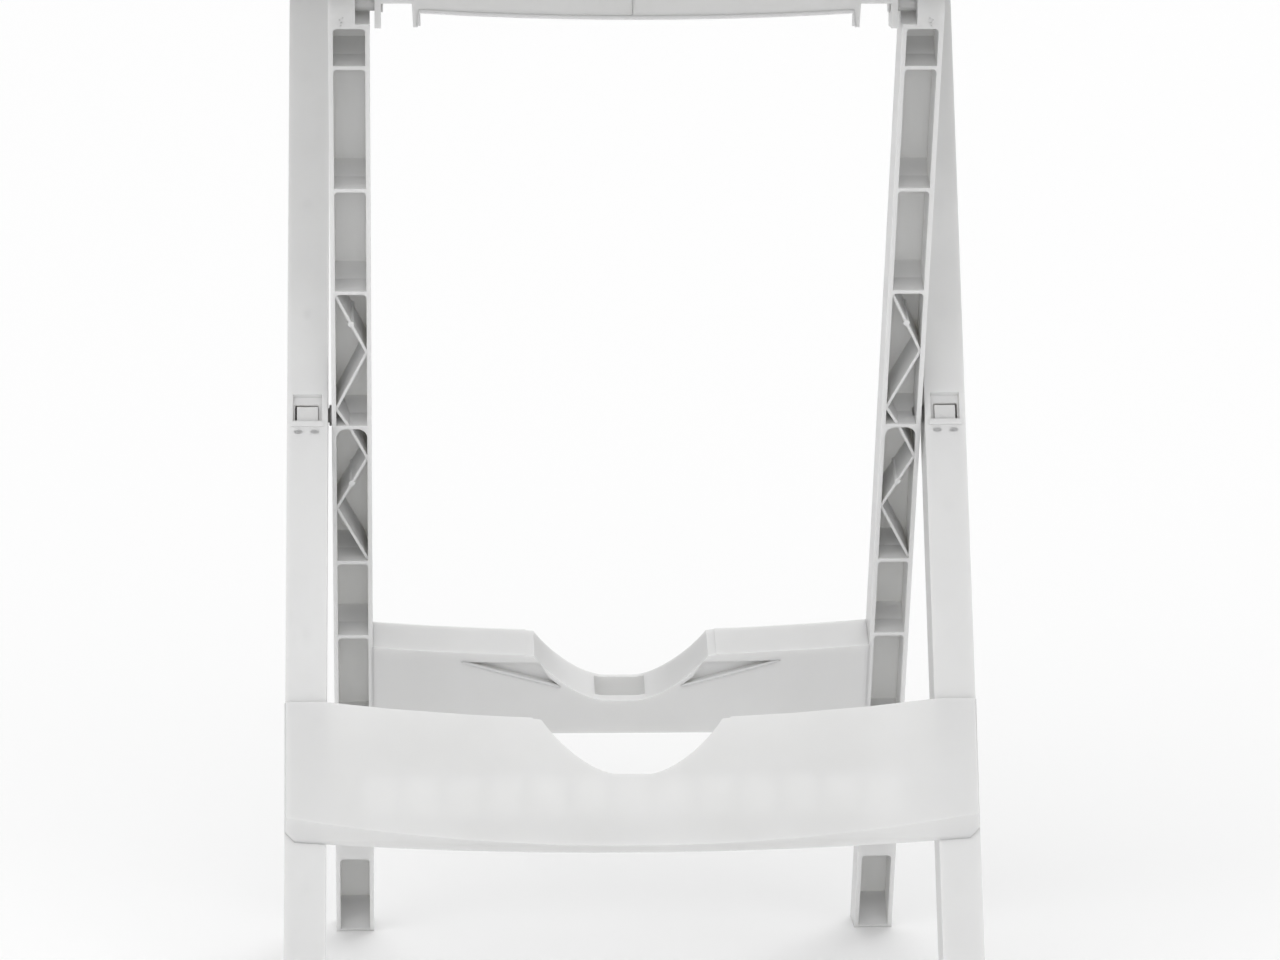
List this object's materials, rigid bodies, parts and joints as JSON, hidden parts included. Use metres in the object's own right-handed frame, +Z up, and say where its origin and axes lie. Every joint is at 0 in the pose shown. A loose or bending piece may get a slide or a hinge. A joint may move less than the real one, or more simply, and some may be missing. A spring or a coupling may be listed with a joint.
{
  "type": "folding stand",
  "caption": "Small folding stand in white moulded resin: crossed ribbed legs on mid pivots, arched crossbars with hand notches, and a hinged slatted top.",
  "frame": {"origin": "on the floor, under the centre of the top", "axes": "+Z up, -Y to the front, X across the stand along the pivot axis"},
  "size_m": [0.396, 0.372, 0.526],
  "materials": {
    "white_resin": "satin moulded",
    "pivot_resin": "satin moulded"
  },
  "bodies": {
    "inner_frame": {"left_inner_leg": "white_resin", "right_inner_leg": "white_resin", "rear_crossbar": "white_resin", "left_pivot_stub": "pivot_resin", "right_pivot_stub": "pivot_resin"},
    "outer_frame": {"left_outer_leg": "white_resin", "right_outer_leg": "white_resin", "front_crossbar": "white_resin", "rear_top_rail": "white_resin", "left_pivot_clip": "pivot_resin", "right_pivot_clip": "pivot_resin"},
    "top": {"top_panel": "white_resin", "hinge_rail": "white_resin", "left_hinge_pin": "pivot_resin", "right_hinge_pin": "pivot_resin", "left_rail_hook": "white_resin", "right_rail_hook": "white_resin"}
  },
  "joints": [
    {"name": "leg_fold", "type": "hinge", "parent": "inner_frame", "child": "outer_frame", "pos_m": [0, 0, 0.286], "axis": [1, 0, 0], "range_deg": [0, 46]},
    {"name": "top_lift", "type": "hinge", "parent": "inner_frame", "child": "top", "pos_m": [0, -0.08791, 0.49311], "axis": [1, 0, 0], "range_deg": [0, 113]}
  ]
}
